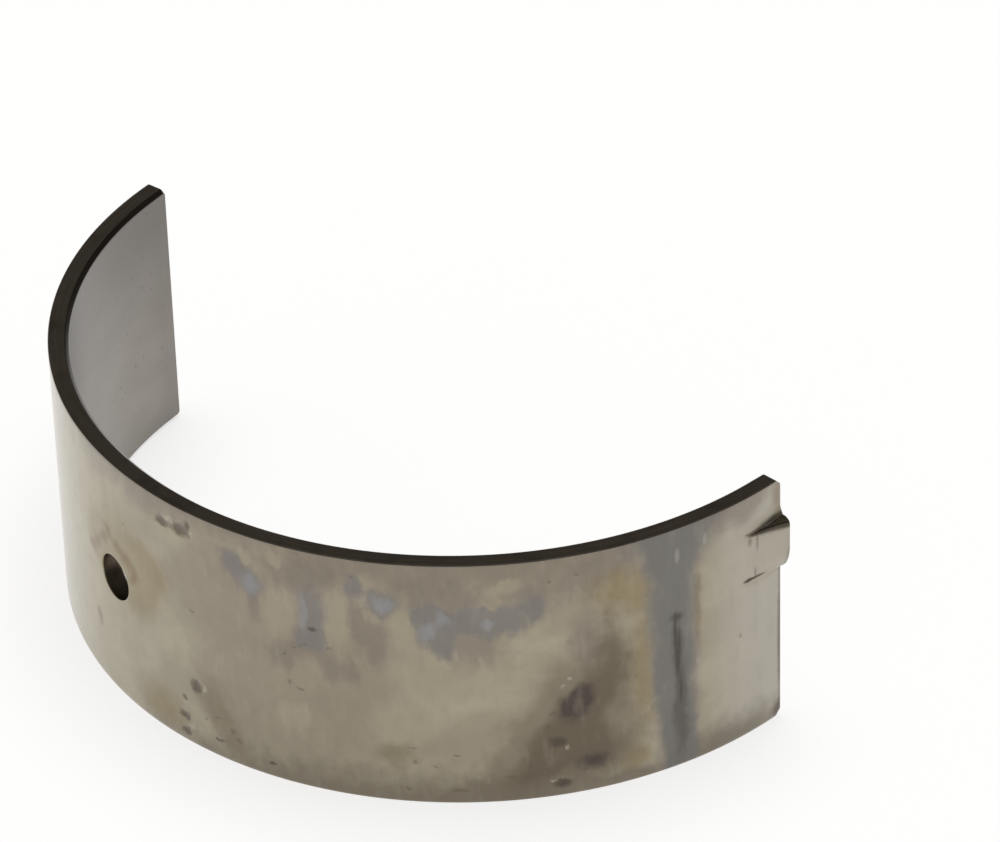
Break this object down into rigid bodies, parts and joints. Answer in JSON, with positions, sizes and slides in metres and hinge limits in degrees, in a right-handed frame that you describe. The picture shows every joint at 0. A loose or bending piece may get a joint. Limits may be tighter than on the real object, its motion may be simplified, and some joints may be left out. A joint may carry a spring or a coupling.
{
  "type": "engine bearing shell",
  "caption": "Thin half-ring steel bearing shell with a bonded lining on its bore, an oil hole through the wall and a locating tang lanced outward at a parting end.",
  "frame": {"origin": "on the journal axis, at mid length", "axes": "+Z along the journal axis, up as it stands, with the tang in the upper half; +X toward the parting end with the tang; the crown is toward -Y and the open side toward +Y"},
  "size_m": [0.0587, 0.0279, 0.02],
  "materials": {
    "steel_strip": "used: dull warm grey steel back with stains, smooth grey bearing lining on the bore, dark end faces"
  },
  "bodies": {
    "root": {"bearing_shell": "steel_strip"}
  },
  "joints": []
}
